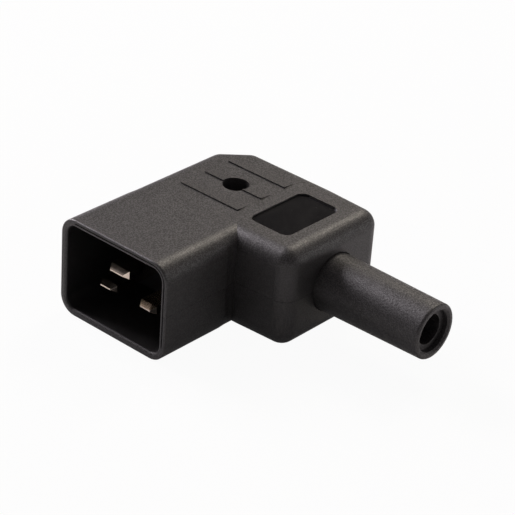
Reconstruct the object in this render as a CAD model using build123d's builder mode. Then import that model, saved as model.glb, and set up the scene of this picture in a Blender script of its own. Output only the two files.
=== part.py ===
# Right-angle three-blade appliance plug: two half shells, a blade carrier, blades and a bend sleeve.
# Origin at the centre of the mouth's rim, -Y out of the mouth, +X along the cord's exit, +Z up.
import os

from build123d import *

os.makedirs("parts", exist_ok=True)

# Housing outline
shroud_width = 34.2
housing_height = 25.8
shroud_depth = 20.2
step_inset = 0.5
step_length = 2.0
shroud_edge_radius = 4.6
block_edge_radius = 4.1
corner_radius = 4.3
block_front = 23.8
block_back = 58.8
block_end = 32.1
taper_start = 16.4
taper_inset = 0.8
taper_blend = 60.0
back_chamfer = 7.5
wall = 2.0
seam = 0.06

# Mouth
rim_wall = 1.8
rim_outer_radius = 0.45
rim_inner_radius = 0.7
rim_skin = 0.65
rim_slot = 0.35
rim_slot_depth = 0.8

# Marks on the upper shell
grip_width = 18.3
grip_run = 3.8
grip_lead = 1.15
grip_rise = 0.35
grip_pitch = 8.4
grip_root = 0.3
recess_middle = 19.15
recess_lead = 0.4
recess_width = 12.1
recess_length = 19.5
recess_radius = 2.2
recess_depth = 0.5

# Blade carrier
carrier_front = 20.5
carrier_thickness = 7.0
tongue_width = 22.0
tongue_height = 0.7
tongue_thickness = 2.5
barrier_thickness = 1.6
carrier_gap = 0.1

# Blades and their terminal blocks
blade_spacing = 13.0
earth_offset = 8.0
line_blade_width = 5.0
earth_blade_width = 5.8
blade_thickness = 2.0
line_tip = 4.45
earth_tip = 1.25
tip_length = 1.4
tip_inset = 0.9
tip_edge = 0.3
terminal_size = 6.0
terminal_length = 8.4
wire_bore_radius = 1.6
wire_bore_depth = 7.0
blade_gap = 0.05
stop_gap = 0.15
stop_width = 5.0
stop_thickness = 1.5
stop_margin = 0.5

# Screws
terminal_screw_radius = 1.5
terminal_screw_length = 2.6
terminal_head_radius = 2.5
terminal_head_height = 1.8
clamp_screw_radius = 1.45
clamp_screw_length = 9.0
clamp_head_radius = 2.6
clamp_head_height = 1.9
housing_screw_radius = 1.5
housing_screw_length = 10.5
housing_head_radius = 2.9
housing_head_height = 2.2
slot_width = 0.7
slot_depth = 0.8
thread_gap = 0.04
screw_gap = 0.25
pilot_spare = 0.8

# Screw well and the bosses under it
well_radius = 3.3
well_floor = 2.5
well_wall = 1.8
lower_boss_radius = 4.2

# Bend sleeve
sleeve_end = 62.3
sleeve_root_radius = 7.35
sleeve_tip_radius = 6.95
sleeve_bore_radius = 3.8
sleeve_step_radius = 5.1
sleeve_step_depth = 1.7
sleeve_edge = 0.7
lead_in_radius = 5.0
lead_in_reach = 0.5
flange_radius = 8.9
flange_thickness = 2.25
flange_gap = 0.15
sleeve_gap = 0.2
rib_thickness = 1.5
rib_overlap = 1.6
rib_passage_radius = 5.0

# Cord clamp
clamp_width = 6.0
clamp_setback = 3.0
clamp_seat = -0.9
clamp_thickness = 2.5
arch_radius = 3.6
arch_wall = 2.2
clamp_post_radius = 3.0
head_margin = 0.4
ear_margin = 0.5
saddle_thickness = 3.0
saddle_half = 4.9
saddle_top = -2.2
saddle_radius = 4.2

# Locating pegs
peg_radius = 1.4
peg_height = 2.2
peg_gap = 0.15
peg_post_radius = 2.75
peg_sink = 0.3
peg_clearance = 0.4

# Places worked out from the sizes above
half_height = housing_height / 2
inside_height = half_height - wall
body_half = shroud_width / 2 - step_inset
block_mid = (block_front + block_back) / 2
mouth_width = shroud_width - 2 * rim_wall
mouth_height = housing_height - 2 * rim_wall
mouth_radius = shroud_edge_radius - rim_wall
carrier_back = carrier_front + carrier_thickness
pocket_end = max(carrier_back + carrier_gap, block_front + wall)
tongue_front = carrier_front + (carrier_thickness - tongue_thickness) / 2
terminal_back = carrier_back + terminal_length
terminal_middle = carrier_back + terminal_length / 2
line_level = -earth_offset / 2
earth_level = earth_offset / 2
flange_end = block_end - wall - flange_gap
flange_start = flange_end - flange_thickness
rib_start = flange_start - flange_gap - rib_thickness
clamp_start = rib_start - clamp_setback - clamp_width
clamp_middle = clamp_start + clamp_width / 2
arch_outer = arch_radius + arch_wall
clamp_screw_offset = arch_outer + head_margin + clamp_head_radius
ear_half = clamp_screw_offset + clamp_head_radius + ear_margin
well_boss_radius = well_radius + well_wall
side_peg_offset = flange_radius + flange_gap + peg_clearance + peg_post_radius
peg_places = [
    (-body_half + wall + peg_post_radius - peg_sink, block_back - back_chamfer - peg_post_radius),
    (rib_start + rib_thickness / 2, block_mid - side_peg_offset),
    (rib_start + rib_thickness / 2, block_mid + side_peg_offset),
]
clamp_screw_places = [
    (clamp_middle, block_mid - clamp_screw_offset),
    (clamp_middle, block_mid + clamp_screw_offset),
]


def mouth_plane(depth):
    # Upright plane across the mouth, looking out of it, at a depth behind the rim
    return Plane.XZ.offset(-depth)


def leg_section(depth, width, radius):
    # Cross-section of the leg that carries the shroud
    with BuildSketch(mouth_plane(depth)) as section:
        RectangleRounded(width, housing_height, radius)
    return section.sketch


def block_plan(level, inset=0.0):
    # Plan of the side-exit block: tapered towards the cord, cut off at its far corner
    with BuildSketch(Plane.XY.offset(level)) as plan:
        with BuildLine():
            Polyline(
                (-body_half, block_front),
                (taper_start, block_front),
                (block_end, block_front + taper_inset),
                (block_end, block_back - taper_inset),
                (taper_start, block_back),
                (-body_half, block_back),
                close=True,
            )
        make_face()
        bends = plan.vertices().filter_by(lambda v: abs(v.X - taper_start) < 0.01)
        fillet(bends, taper_blend)
        fillet(plan.vertices().group_by(Axis.X)[-1], corner_radius)
        far_corner = plan.vertices().group_by(Axis.X)[0].sort_by(Axis.Y)[-1]
        chamfer(far_corner, back_chamfer)
        cut_low = plan.vertices().group_by(Axis.X)[0].sort_by(Axis.Y)[-1]
        fillet(cut_low, corner_radius)
        cut_high = plan.vertices().group_by(Axis.Y)[-1].sort_by(Axis.X)[0]
        fillet(cut_high, corner_radius)
        if inset:
            offset(amount=-inset, kind=Kind.INTERSECTION)
    return plan.sketch


def slotted_screw(shank_radius, shank_length, head_radius, head_height):
    # Pan-head screw with its head's seat at the origin and its shank pointing down
    with BuildPart() as screw:
        Cylinder(shank_radius, shank_length, align=(Align.CENTER, Align.CENTER, Align.MAX))
        chamfer(screw.edges().group_by(Axis.Z)[0], shank_radius / 3)
        Cylinder(head_radius, head_height, align=(Align.CENTER, Align.CENTER, Align.MIN))
        fillet(screw.edges().group_by(Axis.Z)[-1], head_height / 3)
        with Locations((0, 0, head_height)):
            Box(2 * head_radius, slot_width, 2 * slot_depth, mode=Mode.SUBTRACT)
    return screw.part


with BuildPart() as block_form:
    extrude(block_plan(-half_height), amount=housing_height)
    fillet(block_form.edges().group_by(Axis.Z)[0], block_edge_radius)
    fillet(block_form.edges().group_by(Axis.Z)[-1], block_edge_radius)

# Closed outer form of the whole housing: the leg with its shroud, and the block across its back
with BuildPart() as housing_form:
    step_end = shroud_depth + step_length
    step_back = leg_section(step_end, 2 * body_half, block_edge_radius)
    extrude(leg_section(0, shroud_width, shroud_edge_radius), amount=-shroud_depth)
    loft([leg_section(shroud_depth, shroud_width, shroud_edge_radius), step_back])
    extrude(step_back, amount=-(block_mid - step_end))
    add(block_form.part)
    fillet(housing_form.edges().group_by(Axis.Y)[0], rim_outer_radius)


def half_shell(side):
    # Half of the housing above (side 1) or below (side -1) the parting plane, with its ribs and posts
    with BuildPart() as half:
        add(housing_form.part)
        split(bisect_by=Plane.XY, keep=Keep.TOP if side > 0 else Keep.BOTTOM)
        parting_face = half.faces().sort_by(lambda f: abs(f.center().Z))[0]
        chamfer(parting_face.outer_wire().edges().filter_by(lambda e: e.center().Y > rim_outer_radius), seam)

        # Mouth and the carrier's pocket behind it
        with BuildSketch(mouth_plane(0)):
            RectangleRounded(mouth_width, mouth_height, mouth_radius)
        extrude(amount=-pocket_end, mode=Mode.SUBTRACT)
        rim_edges = half.edges().filter_by_position(Axis.Y, -0.01, 0.01)
        rim_edges = rim_edges.filter_by(lambda e: abs(e.center().X) < mouth_width / 2 + 0.01)
        rim_edges = rim_edges.filter_by(lambda e: abs(e.center().Z) < mouth_height / 2 + 0.01)
        fillet(rim_edges, rim_inner_radius)

        # Slot in the rim along its upper and cord sides, between the outer skin and the inner lip
        with BuildSketch(mouth_plane(0)):
            for inset, mode in ((rim_skin, Mode.ADD), (rim_skin + rim_slot, Mode.SUBTRACT)):
                across, high = shroud_width - 2 * inset, housing_height - 2 * inset
                RectangleRounded(across, high, shroud_edge_radius - inset, mode=mode)
            with Locations((-shroud_width / 2, 0)):
                Rectangle(2 * shroud_edge_radius, housing_height, mode=Mode.SUBTRACT)
            with Locations((0, -housing_height / 2)):
                Rectangle(shroud_width, 2 * shroud_edge_radius, mode=Mode.SUBTRACT)
        extrude(amount=-rim_slot_depth, mode=Mode.SUBTRACT)

        # Groove for the carrier's tongues
        with BuildSketch(mouth_plane(tongue_front - carrier_gap)):
            Rectangle(tongue_width + 2 * carrier_gap, mouth_height + 2 * (tongue_height + carrier_gap))
        extrude(amount=-(tongue_thickness + 2 * carrier_gap), mode=Mode.SUBTRACT)

        # Wiring chamber, with the rib that holds the sleeve's flange against the end wall
        extrude(block_plan(-inside_height, wall), amount=2 * inside_height, mode=Mode.SUBTRACT)
        with BuildSketch(Plane.YZ.offset(rib_start)):
            with Locations((block_mid, side * inside_height / 2)):
                Rectangle(2 * (flange_radius + rib_overlap), inside_height)
            with Locations((block_mid, 0)):
                Circle(rib_passage_radius, mode=Mode.SUBTRACT)
        extrude(amount=rib_thickness)
        with BuildSketch(Plane.YZ.offset(block_end + wall)):
            with Locations((block_mid, 0)):
                Circle(sleeve_root_radius + sleeve_gap)
        extrude(amount=-(2 * wall + flange_gap), mode=Mode.SUBTRACT)

        # Posts of the locating pegs and of the housing screw
        with BuildSketch(Plane.XY):
            with Locations(*peg_places):
                Circle(peg_post_radius)
            with Locations((0, block_mid)):
                Circle(well_boss_radius if side > 0 else lower_boss_radius)
        extrude(amount=side * inside_height)
    return half.part


with BuildPart() as upper_shell:
    add(half_shell(1))

    # Three raised grip wedges, steep towards the mouth
    with BuildSketch(Plane.YZ.offset(-grip_width / 2)):
        with GridLocations(grip_pitch, 0, 3, 1):
            with Locations((block_mid, half_height)):
                Polygon(
                    (-grip_lead, -grip_root),
                    (grip_run - grip_lead, -grip_root),
                    (grip_run - grip_lead, 0),
                    (-grip_lead, grip_rise),
                    align=None,
                )
    extrude(amount=grip_width)

    # Marking recess
    with BuildSketch(Plane.XY.offset(half_height)):
        with Locations((recess_middle, block_mid - recess_lead)):
            RectangleRounded(recess_width, recess_length, recess_radius)
    extrude(amount=-recess_depth, mode=Mode.SUBTRACT)

    # Screw well and the screw's passage
    with BuildSketch(Plane.XY.offset(well_floor)):
        with Locations((0, block_mid)):
            Circle(well_radius)
    extrude(amount=housing_height, mode=Mode.SUBTRACT)
    with BuildSketch(Plane.XY):
        with Locations((0, block_mid)):
            Circle(housing_screw_radius + screw_gap)
        with Locations(*peg_places):
            Circle(peg_radius + peg_gap)
    extrude(amount=max(well_floor, peg_height + peg_gap), mode=Mode.SUBTRACT)

with BuildPart() as lower_shell:
    add(half_shell(-1))

    # Locating pegs
    with BuildSketch(Plane.XY):
        with Locations(*peg_places):
            Circle(peg_radius)
    extrude(amount=peg_height)

    # Posts and saddle of the cord clamp
    with BuildSketch(Plane.XY.offset(-inside_height)):
        with Locations(*clamp_screw_places):
            Circle(clamp_post_radius)
    extrude(amount=inside_height + clamp_seat)
    with BuildSketch(Plane.YZ.offset(clamp_middle - saddle_thickness / 2)):
        with Locations((block_mid, (saddle_top - inside_height) / 2)):
            Rectangle(2 * saddle_half, inside_height + saddle_top)
        with Locations((block_mid, 0)):
            Circle(saddle_radius, mode=Mode.SUBTRACT)
    extrude(amount=saddle_thickness)

    # Stops behind the line and neutral terminals, below their wire bores
    stop_top = line_level - wire_bore_radius - stop_margin
    with BuildSketch(Plane.XY.offset(-inside_height)):
        with Locations((0, terminal_back + stop_gap + stop_thickness / 2)):
            with GridLocations(blade_spacing, 0, 2, 1):
                Rectangle(stop_width, stop_thickness)
    extrude(amount=inside_height + stop_top)

    # Pilot holes of the screws
    with BuildSketch(Plane.XY.offset(clamp_seat)):
        with Locations(*clamp_screw_places):
            Circle(clamp_screw_radius + thread_gap)
    extrude(amount=-(clamp_screw_length - clamp_thickness + pilot_spare), mode=Mode.SUBTRACT)
    with BuildSketch(Plane.XY):
        with Locations((0, block_mid)):
            Circle(housing_screw_radius + thread_gap)
    extrude(amount=-(housing_screw_length - well_floor + pilot_spare), mode=Mode.SUBTRACT)

with BuildPart() as pin_carrier:
    with BuildSketch(mouth_plane(carrier_front)):
        RectangleRounded(
            mouth_width - 2 * carrier_gap,
            mouth_height - 2 * carrier_gap,
            mouth_radius - carrier_gap,
        )
    extrude(amount=-carrier_thickness)
    with BuildSketch(mouth_plane(tongue_front)):
        Rectangle(tongue_width, mouth_height + 2 * tongue_height)
    extrude(amount=-tongue_thickness)

    # Barrier between the line and neutral terminals, under the earth terminal
    barrier_top = earth_level - terminal_size / 2 - stop_margin
    barrier_bottom = -inside_height + stop_margin
    with BuildSketch(mouth_plane(carrier_back)):
        with Locations((0, (barrier_top + barrier_bottom) / 2)):
            Rectangle(barrier_thickness, barrier_top - barrier_bottom)
    extrude(amount=-terminal_length)

    # Slots for the blades
    with BuildSketch(mouth_plane(carrier_front)):
        with Locations((0, line_level)):
            with GridLocations(blade_spacing, 0, 2, 1):
                Rectangle(line_blade_width + 2 * blade_gap, blade_thickness + 2 * blade_gap)
        with Locations((0, earth_level)):
            Rectangle(earth_blade_width + 2 * blade_gap, blade_thickness + 2 * blade_gap)
    extrude(amount=-carrier_thickness, mode=Mode.SUBTRACT)


def flat_blade(place, level, width, tip, wire_from_side):
    # Flat blade with a bevelled tip and a drilled terminal block behind the carrier
    def section(depth, across, high):
        with BuildSketch(mouth_plane(depth)) as face:
            with Locations((place, level)):
                Rectangle(across, high)
        return face.sketch

    shoulder = tip + tip_length
    with BuildPart() as blade:
        loft([
            section(tip, width - 2 * tip_inset, tip_edge),
            section(shoulder, width, blade_thickness),
        ])
        extrude(section(shoulder, width, blade_thickness), amount=-(carrier_back - shoulder))
        extrude(section(carrier_back, terminal_size, terminal_size), amount=-terminal_length)
        if wire_from_side:
            with BuildSketch(Plane.YZ.offset(place - terminal_size / 2)):
                with Locations((terminal_middle, level)):
                    Circle(wire_bore_radius)
            extrude(amount=terminal_size, mode=Mode.SUBTRACT)
        else:
            with BuildSketch(mouth_plane(terminal_back)):
                with Locations((place, level)):
                    Circle(wire_bore_radius)
            extrude(amount=wire_bore_depth, mode=Mode.SUBTRACT)
        with BuildSketch(Plane.XY.offset(level)):
            with Locations((place, terminal_middle)):
                Circle(terminal_screw_radius + thread_gap)
        extrude(amount=terminal_size / 2, mode=Mode.SUBTRACT)
    return blade.part


with BuildPart() as line_pin:
    add(flat_blade(blade_spacing / 2, line_level, line_blade_width, line_tip, False))

with BuildPart() as neutral_pin:
    add(flat_blade(-blade_spacing / 2, line_level, line_blade_width, line_tip, False))

with BuildPart() as earth_pin:
    add(flat_blade(0, earth_level, earth_blade_width, earth_tip, True))

with BuildPart() as terminal_screws:
    with Locations(
        (-blade_spacing / 2, terminal_middle, line_level + terminal_size / 2),
        (blade_spacing / 2, terminal_middle, line_level + terminal_size / 2),
        (0, terminal_middle, earth_level + terminal_size / 2),
    ):
        add(slotted_screw(
            terminal_screw_radius, terminal_screw_length, terminal_head_radius, terminal_head_height
        ))

# Arched saddle with a flat ear each side
with BuildPart() as cord_clamp:
    with BuildSketch(Plane.YZ.offset(clamp_start)):
        with Locations((block_mid, 0)):
            Circle(arch_outer)
        with Locations((block_mid, clamp_seat + clamp_thickness / 2)):
            Rectangle(2 * ear_half, clamp_thickness)
        with Locations((block_mid, 0)):
            Circle(arch_radius, mode=Mode.SUBTRACT)
        with Locations((block_mid, clamp_seat)):
            Rectangle(2 * ear_half, 2 * arch_outer, align=(Align.CENTER, Align.MAX), mode=Mode.SUBTRACT)
    extrude(amount=clamp_width)
    with BuildSketch(Plane.XY.offset(clamp_seat)):
        with Locations(*clamp_screw_places):
            Circle(clamp_screw_radius + screw_gap)
    extrude(amount=clamp_thickness, mode=Mode.SUBTRACT)

with BuildPart() as cord_clamp_screws:
    with Locations(*[(x, y, clamp_seat + clamp_thickness) for x, y in clamp_screw_places]):
        add(slotted_screw(clamp_screw_radius, clamp_screw_length, clamp_head_radius, clamp_head_height))

with BuildPart() as housing_screw:
    with Locations((0, block_mid, well_floor)):
        add(slotted_screw(
            housing_screw_radius, housing_screw_length, housing_head_radius, housing_head_height
        ))

# Tapered tube with a flange inside the end wall, a flared lead-in there and a step in its free end
with BuildPart() as bend_sleeve:
    with BuildSketch(mouth_plane(block_mid)):
        with BuildLine():
            Polyline(
                (block_end + lead_in_reach, sleeve_bore_radius),
                (flange_start, lead_in_radius),
                (flange_start, flange_radius),
                (flange_end, flange_radius),
                (flange_end, sleeve_root_radius),
                (block_end, sleeve_root_radius),
                (sleeve_end, sleeve_tip_radius),
                (sleeve_end, sleeve_step_radius),
                (sleeve_end - sleeve_step_depth, sleeve_step_radius),
                (sleeve_end - sleeve_step_depth, sleeve_bore_radius),
                close=True,
            )
        make_face()
    revolve(axis=Axis((0, block_mid, 0), (1, 0, 0)))
    end_edges = bend_sleeve.edges().group_by(Axis.X)[-1].sort_by(SortBy.RADIUS)
    fillet(end_edges[-1], sleeve_edge)

for name, piece in {
    "upper_shell": upper_shell,
    "lower_shell": lower_shell,
    "pin_carrier": pin_carrier,
    "line_pin": line_pin,
    "neutral_pin": neutral_pin,
    "earth_pin": earth_pin,
    "terminal_screws": terminal_screws,
    "cord_clamp": cord_clamp,
    "cord_clamp_screws": cord_clamp_screws,
    "housing_screw": housing_screw,
    "bend_sleeve": bend_sleeve,
}.items():
    piece.part.label = name
    export_step(piece.part, f"parts/{name}.step")
    print(name, len(piece.part.solids()), round(piece.part.volume, 1))
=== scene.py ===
import bpy
import numpy as np
from mathutils import Matrix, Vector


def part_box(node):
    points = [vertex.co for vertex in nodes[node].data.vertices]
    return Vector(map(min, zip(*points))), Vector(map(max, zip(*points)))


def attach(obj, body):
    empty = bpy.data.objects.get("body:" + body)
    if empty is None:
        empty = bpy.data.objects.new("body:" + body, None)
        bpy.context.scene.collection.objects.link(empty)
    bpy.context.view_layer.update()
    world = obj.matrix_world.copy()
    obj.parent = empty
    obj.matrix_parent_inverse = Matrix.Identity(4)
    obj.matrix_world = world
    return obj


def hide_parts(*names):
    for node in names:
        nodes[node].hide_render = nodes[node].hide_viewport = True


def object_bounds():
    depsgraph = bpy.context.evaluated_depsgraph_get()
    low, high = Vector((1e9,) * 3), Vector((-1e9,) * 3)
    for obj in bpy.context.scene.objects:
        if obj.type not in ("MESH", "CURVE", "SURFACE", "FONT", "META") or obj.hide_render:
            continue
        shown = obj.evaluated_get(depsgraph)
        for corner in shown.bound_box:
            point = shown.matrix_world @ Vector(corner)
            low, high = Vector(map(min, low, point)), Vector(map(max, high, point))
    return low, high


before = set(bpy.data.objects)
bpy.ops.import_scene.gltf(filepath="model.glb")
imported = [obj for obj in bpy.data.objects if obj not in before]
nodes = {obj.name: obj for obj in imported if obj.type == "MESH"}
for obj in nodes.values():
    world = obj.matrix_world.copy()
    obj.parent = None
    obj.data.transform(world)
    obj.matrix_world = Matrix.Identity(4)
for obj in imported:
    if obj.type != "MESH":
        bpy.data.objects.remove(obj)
cadBox = [list(corner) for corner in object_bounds()]
print("frame:", len(nodes), "nodes")


# node helpers, in which a source is a (node, output) pair
def isSource(value):
    return isinstance(value, tuple) and isinstance(value[0], bpy.types.Node)


def feed(tree, node, socket, value):
    # links a source to the socket, or sets the socket to a plain value
    if isSource(value):
        tree.links.new(value[0].outputs[value[1]], node.inputs[socket])
    else:
        node.inputs[socket].default_value = value


def addNode(tree, kind, sockets=None, **settings):
    node = tree.nodes.new(kind)
    for name, value in settings.items():
        setattr(node, name, value)
    for socket, value in (sockets or {}).items():
        feed(tree, node, socket, value)
    return node


def calc(tree, operation, *operands):
    return addNode(tree, "ShaderNodeMath", dict(enumerate(operands)), operation=operation), "Value"


def remap(tree, source, fromRange, toRange):
    return addNode(tree, "ShaderNodeMapRange", dict(enumerate((source, *fromRange, *toRange)))), "Result"


def noise(tree, place, scale, detail, roughness=0.5):
    sockets = {"Vector": place, "Scale": scale, "Detail": detail, "Roughness": roughness}
    return addNode(tree, "ShaderNodeTexNoise", sockets), "Fac"


def mixColour(tree, factor, first, second):
    first, second = [value if isSource(value) else (*value, 1) for value in (first, second)]
    return addNode(tree, "ShaderNodeMix", {0: factor, 6: first, 7: second}, data_type="RGBA"), 2


def mixValue(tree, factor, first, second):
    return addNode(tree, "ShaderNodeMix", {0: factor, 2: first, 3: second}, data_type="FLOAT"), 0


def addRelief(tree, shader, height, depth, strength=1.0):
    bump = addNode(tree, "ShaderNodeBump", {"Strength": strength, "Distance": depth, "Height": height})
    feed(tree, shader, "Normal", (bump, "Normal"))


def newGroup(name, inputs, outputs):
    # inputs are names with their defaults, and None stands for a vector
    group = bpy.data.node_groups.new(name, "ShaderNodeTree")
    for label, default in inputs.items():
        kind = "NodeSocketVector" if default is None else "NodeSocketFloat"
        socket = group.interface.new_socket(label, in_out="INPUT", socket_type=kind)
        if default is not None:
            socket.default_value = default
    for label in outputs:
        group.interface.new_socket(label, in_out="OUTPUT", socket_type="NodeSocketFloat")
    return group, group.nodes.new("NodeGroupInput"), group.nodes.new("NodeGroupOutput")


def newMaterial(name, fixed):
    # fixed holds the shader values that are the same all over the surface
    material = bpy.data.materials.new(name)
    material.use_nodes = True
    tree = material.node_tree
    shader = tree.nodes["Principled BSDF"]
    for socket, value in fixed.items():
        shader.inputs[socket].default_value = value
    return material, tree, shader


def dress(names, material):
    for name in names:
        nodes[name].data.materials.clear()
        nodes[name].data.materials.append(material)


# what all the grained plastics share
grainForm = {
    "coarseShare": 0.55, "facetShare": 0.8,   # of the grains per metre
    "coarseHeight": 0.6, "cloudsPerMetre": 150.0,
    "peakRange": (0.54, 0.72), "sparkleRange": (0.42, 0.62), "cloudRange": (0.3, 0.7),   # of the noise
    "peakTone": 0.6, "cloudTone": 0.5,   # shares of the lighter colour
    "risingFace": (0.0, 0.6),   # height of the normal, from a side face to one that looks up
    "coatRoughness": 0.5,
}
dustForm = {"speckEdge": (0.06, 0.12), "rarity": 0.93}


# spark-eroded mould grain: two sizes of noise make the pits, and a third the facets that sparkle
def buildGrainGroup(form):
    group, source, result = newGroup(
        "sparkGrain", {"Vector": None, "Grains per metre": 4000.0}, ["Height", "Peak", "Sparkle", "Cloud"])
    place = (source, "Vector")
    grains = (source, "Grains per metre")
    coarse = noise(group, place, calc(group, "MULTIPLY", grains, form["coarseShare"]), 1.0)
    fine = noise(group, place, grains, 2.0, 0.6)
    facets = noise(group, place, calc(group, "MULTIPLY", grains, form["facetShare"]), 0.0)
    broad = noise(group, place, form["cloudsPerMetre"], 4.0, 0.6)
    feed(group, result, "Height", calc(group, "MULTIPLY_ADD", coarse, form["coarseHeight"], fine))
    feed(group, result, "Peak", remap(group, fine, form["peakRange"], (0.0, 1.0)))
    feed(group, result, "Sparkle", remap(group, facets, form["sparkleRange"], (0.0, 1.0)))
    feed(group, result, "Cloud", broad)
    return group


# sparse dust: the middles of Voronoi cells, only where a cell's random value is high
def buildDustGroup(form):
    group, source, result = newGroup("dustSpecks", {"Vector": None, "Specks per metre": 700.0}, ["Speck"])
    sockets = {"Vector": (source, "Vector"), "Scale": (source, "Specks per metre"), "Randomness": 1.0}
    cells = addNode(group, "ShaderNodeTexVoronoi", sockets, feature="F1")
    near = remap(group, (cells, "Distance"), form["speckEdge"], (1.0, 0.0))
    parts = addNode(group, "ShaderNodeSeparateColor", {"Color": (cells, "Color")})
    rare = calc(group, "GREATER_THAN", (parts, "Red"), form["rarity"])
    feed(group, result, "Speck", calc(group, "MULTIPLY", near, rare))
    return group


grainGroup = buildGrainGroup(grainForm)
dustGroup = buildDustGroup(dustForm)
print("shared effects:", len(bpy.data.node_groups))


def startPlastic(name, look):
    fixed = {"Specular IOR Level": look["specular"], "Coat Roughness": grainForm["coatRoughness"]}
    material, tree, shader = newMaterial(name, fixed)
    place = addNode(tree, "ShaderNodeTexCoord")
    sockets = {"Vector": (place, "Object"), "Grains per metre": look["grainsPerMetre"]}
    grain = addNode(tree, "ShaderNodeGroup", sockets, node_tree=grainGroup)
    return material, tree, shader, place, grain


def grainColour(tree, grain, look):
    cloud = calc(tree, "MULTIPLY", (grain, "Cloud"), grainForm["cloudTone"])
    tone = calc(tree, "MULTIPLY_ADD", (grain, "Peak"), grainForm["peakTone"], cloud)
    return mixColour(tree, tone, look["dark"], look["light"])


def sparkleShare(tree, place, grain, look):
    # grains stand out where light rakes across them, on faces that look up, and fade on the sides
    facing = addNode(tree, "ShaderNodeSeparateXYZ", {"Vector": (place, "Normal")})
    contrast = remap(tree, (facing, "Z"), grainForm["risingFace"], (look["sideGrain"], 1.0))
    swing = calc(tree, "SUBTRACT", (grain, "Sparkle"), 0.5)
    return calc(tree, "MULTIPLY", calc(tree, "MULTIPLY_ADD", swing, contrast, 0.5), look["sparkle"])


def boxMask(tree, axes, middle, half):
    # 1 inside a box in object space, 0 outside it
    inside = [calc(tree, "COMPARE", (axes, axis), centre, reach)
              for axis, centre, reach in zip("XYZ", middle, half)]
    return calc(tree, "MULTIPLY", calc(tree, "MULTIPLY", inside[0], inside[1]), inside[2])


housing = {
    "dark": (0.012, 0.0116, 0.0114), "light": (0.017, 0.0165, 0.016),   # between and on the grains
    "dust": (0.07, 0.067, 0.064), "specksPerMetre": 650.0,
    "grainsPerMetre": 4200.0, "grainDepth": 0.000055, "sparkle": 1.0, "sideGrain": 0.4,
    "roughness": (0.46, 0.56), "specular": 0.55,
    "recessMiddle": (0.01915, 0.0409, 0.0124), "recessHalf": (0.00605, 0.00975, 0.0001),
    "recessColour": (0.006, 0.006, 0.0062), "recessRoughness": (0.13, 0.24), "recessClouds": (0.35, 0.65),
    "mouthMiddle": (0.0, 0.01035, -0.0002), "mouthHalf": (0.01535, 0.01015, 0.01135),
    # painted shade: the deep inside of the mouth is painted darker than the plastic itself
    "mouthPaintedShade": (0.007, 0.007, 0.007),
    "grainLost": 0.9,   # share of the grain that the recess floor and the mouth lack
}


def buildHousingPlastic(look):
    material, tree, shader, place, grain = startPlastic("housingPlastic", look)
    sockets = {"Vector": (place, "Object"), "Specks per metre": look["specksPerMetre"]}
    dust = addNode(tree, "ShaderNodeGroup", sockets, node_tree=dustGroup)

    # the floor of the shallow recess is polished, and the mouth comes off a smooth core; inside the mouth the
    # base colour is also darkened, which is painted shade
    axes = addNode(tree, "ShaderNodeSeparateXYZ", {"Vector": (place, "Object")})
    recess = boxMask(tree, axes, look["recessMiddle"], look["recessHalf"])
    mouthShadeAndCore = boxMask(tree, axes, look["mouthMiddle"], look["mouthHalf"])

    colour = grainColour(tree, grain, look)
    colour = mixColour(tree, recess, colour, look["recessColour"])
    colour = mixColour(tree, (dust, "Speck"), colour, look["dust"])
    # painted shade: the inside of the mouth is painted near-black
    colour = mixColour(tree, mouthShadeAndCore, colour, look["mouthPaintedShade"])
    feed(tree, shader, "Base Color", colour)

    rough = remap(tree, (grain, "Cloud"), grainForm["cloudRange"], look["roughness"])
    polished = remap(tree, (grain, "Cloud"), look["recessClouds"], look["recessRoughness"])
    feed(tree, shader, "Roughness", mixValue(tree, recess, rough, polished))

    lost = calc(tree, "MULTIPLY", calc(tree, "MAXIMUM", recess, mouthShadeAndCore), look["grainLost"])
    kept = calc(tree, "SUBTRACT", 1.0, lost)
    sparkle = sparkleShare(tree, place, grain, look)
    feed(tree, shader, "Coat Weight", calc(tree, "MULTIPLY", sparkle, kept))
    addRelief(tree, shader, calc(tree, "MULTIPLY", (grain, "Height"), kept), look["grainDepth"])
    return material


carrier = {
    "dark": (0.010, 0.010, 0.010), "light": (0.018, 0.018, 0.018),
    "grainsPerMetre": 5200.0, "grainDepth": 0.00003, "sparkle": 0.0,
    "roughness": (0.45, 0.6), "specular": 0.3,
}
sleeve = {
    "dark": (0.012, 0.0116, 0.0116), "light": (0.018, 0.0174, 0.0174),
    "grainsPerMetre": 4200.0, "grainDepth": 0.000055, "sparkle": 0.9, "sideGrain": 0.5,
    "roughness": (0.46, 0.56), "specular": 0.58,
}


def buildMouldedPlastic(name, look):
    material, tree, shader, place, grain = startPlastic(name, look)
    feed(tree, shader, "Base Color", grainColour(tree, grain, look))
    feed(tree, shader, "Roughness", remap(tree, (grain, "Cloud"), grainForm["cloudRange"], look["roughness"]))
    if look["sparkle"]:
        feed(tree, shader, "Coat Weight", sparkleShare(tree, place, grain, look))
    addRelief(tree, shader, (grain, "Height"), look["grainDepth"])
    return material


blades = {
    "bright": (0.84, 0.75, 0.64), "dull": (0.74, 0.65, 0.54),
    "roughness": (0.09, 0.12), "drawLines": (1200.0, 60.0, 1200.0), "lineDepth": 0.0000001,
}
screws = {
    "bright": (0.62, 0.62, 0.60), "dull": (0.42, 0.42, 0.41),
    "roughness": (0.28, 0.45), "drawLines": (2600.0, 2600.0, 900.0), "lineDepth": 0.000005,
}
plating = {"stainsPerMetre": 450.0, "stainRange": (0.35, 0.7), "lineRange": (0.3, 0.7), "relief": 0.6}


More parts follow.
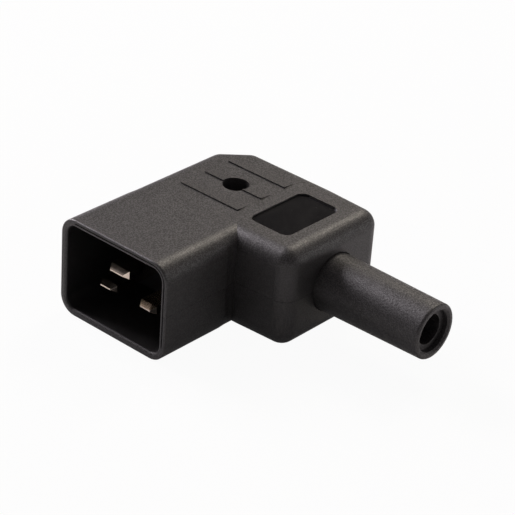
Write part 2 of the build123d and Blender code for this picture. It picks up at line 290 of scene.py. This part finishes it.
def buildPlatedMetal(name, look):
    # fine lines run along the piece: noise stretched by an uneven scale, in lines per metre
    material, tree, shader = newMaterial(name, {"Metallic": 1.0})
    place = (addNode(tree, "ShaderNodeTexCoord"), "Object")
    stretch = addNode(tree, "ShaderNodeMapping", {"Vector": place, "Scale": look["drawLines"]})
    lines = noise(tree, (stretch, "Vector"), 1.0, 3.0, 0.6)
    stain = noise(tree, place, plating["stainsPerMetre"], 3.0)
    tone = remap(tree, stain, plating["stainRange"], (0.0, 1.0))
    feed(tree, shader, "Base Color", mixColour(tree, tone, look["bright"], look["dull"]))
    feed(tree, shader, "Roughness", remap(tree, lines, plating["lineRange"], look["roughness"]))
    addRelief(tree, shader, lines, look["lineDepth"], plating["relief"])
    return material


sleeveForm = {
    "flange": 0.0089, "root": 0.00735, "tip": 0.00695,   # radii outside
    "leadIn": 0.005, "bore": 0.0038, "step": 0.00525,   # radii inside
    "flangeWidth": 0.00225, "leadInReach": 0.0005, "stepDepth": 0.0017,
    "taperEnd": 0.00105,   # distance from the free end
    "edge": 0.0007, "lip": 0.0005,   # rounding outside and bevel inside the free end
    "arcPoints": 9, "turnPoints": 160, "sharpAngle": 13.0,
}


def sleeveOutline(form, start, wallEnd, end):
    # closed outline of (x, radius): flange, taper, rounded rim, step, bore and flared lead-in
    flangeEnd = start + form["flangeWidth"]
    stepEnd = end - form["stepDepth"]
    angle = np.linspace(np.pi / 2, 0.0, form["arcPoints"])
    rim = np.column_stack([np.cos(angle) - 1.0, np.sin(angle) - 1.0]) * form["edge"] + (end, form["tip"])
    return np.vstack([
        [(start, form["leadIn"]), (start, form["flange"]), (flangeEnd, form["flange"])],
        [(flangeEnd, form["root"]), (wallEnd, form["root"]), (end - form["taperEnd"], form["tip"])],
        rim,
        [(end, form["step"] + form["lip"]), (end - form["lip"], form["step"]), (stepEnd, form["step"])],
        [(stepEnd, form["bore"]), (wallEnd + form["leadInReach"], form["bore"])],
    ])


def buildSleeve(form, material):
    # surface of revolution: the outline's x, and its radius times the cosine and sine of the turn
    low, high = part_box("bend_sleeve")
    outline = sleeveOutline(form, low[0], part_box("upper_shell")[1][0], high[0])
    turn = np.linspace(0.0, 2.0 * np.pi, form["turnPoints"], endpoint=False)
    x, radius = outline[:, :1], outline[:, 1:]
    grid = np.stack([
        x + 0.0 * turn,
        (low[1] + high[1]) / 2 + radius * np.cos(turn),
        (low[2] + high[2]) / 2 + radius * np.sin(turn),
    ], axis=-1)
    index = np.arange(x.size * turn.size).reshape(x.size, turn.size)
    along = np.roll(index, -1, axis=0)
    quads = np.stack([index, np.roll(index, -1, axis=1), np.roll(along, -1, axis=1), along], axis=-1)
    mesh = bpy.data.meshes.new("bendSleeve")
    mesh.from_pydata(grid.reshape(-1, 3).tolist(), [], quads.reshape(-1, 4).tolist())
    mesh.shade_smooth()
    mesh.set_sharp_from_angle(angle=np.radians(form["sharpAngle"]))
    mesh.materials.append(material)
    piece = bpy.data.objects.new("bendSleeve", mesh)
    bpy.context.scene.collection.objects.link(piece)
    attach(piece, "root")
    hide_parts("bend_sleeve")
    print("sleeve:", len(mesh.polygons), "faces")


dress(["upper_shell", "lower_shell"], buildHousingPlastic(housing))
dress(["pin_carrier", "cord_clamp"], buildMouldedPlastic("carrierPlastic", carrier))
buildSleeve(sleeveForm, buildMouldedPlastic("sleevePlastic", sleeve))
dress(["line_pin", "neutral_pin", "earth_pin"], buildPlatedMetal("nickelPlate", blades))
dress(["terminal_screws", "cord_clamp_screws", "housing_screw"], buildPlatedMetal("zincPlate", screws))
print("materials:", len(bpy.data.materials))


floor = {"half": 2.5, "wall": 0.45, "colour": (0.66, 0.66, 0.66), "cameraGlow": 0.95, "mirrorGlow": 0.07}


def glowShare(tree, look):
    # share of white glow in what the camera, and glossy and transmission rays, see of the floor
    path = addNode(tree, "ShaderNodeLightPath")
    mirrored = calc(tree, "MAXIMUM", (path, "Is Glossy Ray"), (path, "Is Transmission Ray"))
    mirrored = calc(tree, "MULTIPLY", mirrored, look["mirrorGlow"])
    return calc(tree, "MULTIPLY_ADD", (path, "Is Camera Ray"), look["cameraGlow"], mirrored)


def buildFloor(look, level):
    # floor with a low wall round it: a square, its copy raised by the wall's height, and the four sides
    corners = np.array([(-1, -1), (1, -1), (1, 1), (-1, 1)]) * look["half"]
    low = np.column_stack([corners, np.full(4, level)])
    high = low + (0, 0, look["wall"])
    sides = [(i, (i + 1) % 4, (i + 1) % 4 + 4, i + 4) for i in range(4)]
    mesh = bpy.data.meshes.new("floor")
    mesh.from_pydata(np.vstack([low, high]).tolist(), [], [(0, 1, 2, 3), *sides])
    plane = bpy.data.objects.new("floor", mesh)
    bpy.context.scene.collection.objects.link(plane)
    material = bpy.data.materials.new("whiteFloor")
    material.use_nodes = True
    tree = material.node_tree
    tree.nodes.clear()
    paint = addNode(tree, "ShaderNodeBsdfDiffuse", {"Color": (*look["colour"], 1)})
    glow = addNode(tree, "ShaderNodeEmission", {"Color": (1, 1, 1, 1), "Strength": 1.0})
    sockets = {0: glowShare(tree, look), 1: (paint, "BSDF"), 2: (glow, "Emission")}
    mixed = addNode(tree, "ShaderNodeMixShader", sockets)
    addNode(tree, "ShaderNodeOutputMaterial", {"Surface": (mixed, "Shader")})
    mesh.materials.append(material)


room = {
    "ambient": (0.222, 0.200, 0.208),
    "gap": (-0.554, 0.665, 0.5), "gapEdge": (0.80, 0.97), "gapLight": 0.2,   # cosines from the gap's middle
}


def buildWorld(look):
    # even light, with a darker gap between the lamps that the flat top mirrors
    world = bpy.data.worlds.new("studio")
    bpy.context.scene.world = world
    world.use_nodes = True
    tree = world.node_tree
    place = addNode(tree, "ShaderNodeTexCoord")
    sockets = {0: (place, "Generated"), 1: look["gap"]}
    towards = addNode(tree, "ShaderNodeVectorMath", sockets, operation="DOT_PRODUCT")
    share = remap(tree, (towards, "Value"), look["gapEdge"], (1.0, look["gapLight"]))
    colour = mixColour(tree, share, (0.0, 0.0, 0.0), look["ambient"])
    feed(tree, tree.nodes["Background"], "Color", colour)


lampDistance = 1.5   # metres from the point that the camera looks at
lamps = {
    "back": {"towards": (-0.17, 0.686, 0.708), "size": 0.45, "watts": 8.9, "colour": (1.0, 0.905, 0.79)},
    "left": {"towards": (-0.865, -0.004, 0.501), "size": 0.65, "watts": 24.5, "colour": (1.0, 0.93, 0.985)},
    "fill": {"towards": (0.62, 0.77, 0.16), "size": 0.5, "watts": 1.8, "colour": (1.0, 0.96, 0.94)},
}
photoView = {
    "azimuth": 39.79, "elevation": 30.02, "roll": -4.24,   # degrees, azimuth 0 looks along +Y
    "aim": (0.02212, 0.02486, 0.00855), "distance": 0.4606,
    "focalPixels": 2000.0, "framePixels": 515.0, "sensor": 36.0, "clipStart": 0.01,
}


def turnTo(right, up, back, place):
    # columns are the object's own axes, and the last one its place
    matrix = np.eye(4)
    matrix[:3, :4] = np.array([right, up, back, place]).T
    return Matrix(matrix.tolist())


def buildLamps(looks, distance, aim):
    for name, look in looks.items():
        data = bpy.data.lights.new(name, "AREA")
        data.shape = "SQUARE"
        data.size = look["size"]
        data.energy = look["watts"]
        data.color = look["colour"]
        lamp = bpy.data.objects.new(name, data)
        bpy.context.scene.collection.objects.link(lamp)
        back = np.array(look["towards"])
        back = back / np.linalg.norm(back)
        right = np.cross((0.0, 1.0, 0.0), back)
        right = right / np.linalg.norm(right)
        lamp.matrix_world = turnTo(right, np.cross(back, right), back, np.array(aim) + distance * back)


def buildCamera(look):
    # right, up and back follow from the two viewing angles; the roll turns the picture about the lens axis
    azimuth, elevation, roll = np.radians([look["azimuth"], look["elevation"], look["roll"]])
    right = np.array([np.cos(azimuth), np.sin(azimuth), 0.0])
    ahead = np.array([-np.sin(azimuth), np.cos(azimuth), 0.0])
    back = np.array([0.0, 0.0, np.sin(elevation)]) - np.cos(elevation) * ahead
    up = np.cross(back, right)
    rolledRight = np.cos(roll) * right - np.sin(roll) * up
    rolledUp = np.sin(roll) * right + np.cos(roll) * up
    data = bpy.data.cameras.new("photoCamera")
    data.sensor_width = look["sensor"]
    data.lens = look["focalPixels"] / look["framePixels"] * look["sensor"]
    data.clip_start = look["clipStart"]
    camera = bpy.data.objects.new("photoCamera", data)
    bpy.context.scene.collection.objects.link(camera)
    place = np.array(look["aim"]) + look["distance"] * back
    camera.matrix_world = turnTo(rolledRight, rolledUp, back, place)
    bpy.context.scene.camera = camera


buildFloor(floor, cadBox[0][2])
buildWorld(room)
buildLamps(lamps, lampDistance, photoView["aim"])
buildCamera(photoView)
bpy.context.scene.view_settings.view_transform = "Standard"
print("stage: floor, world,", len(lamps), "lamps and the camera")
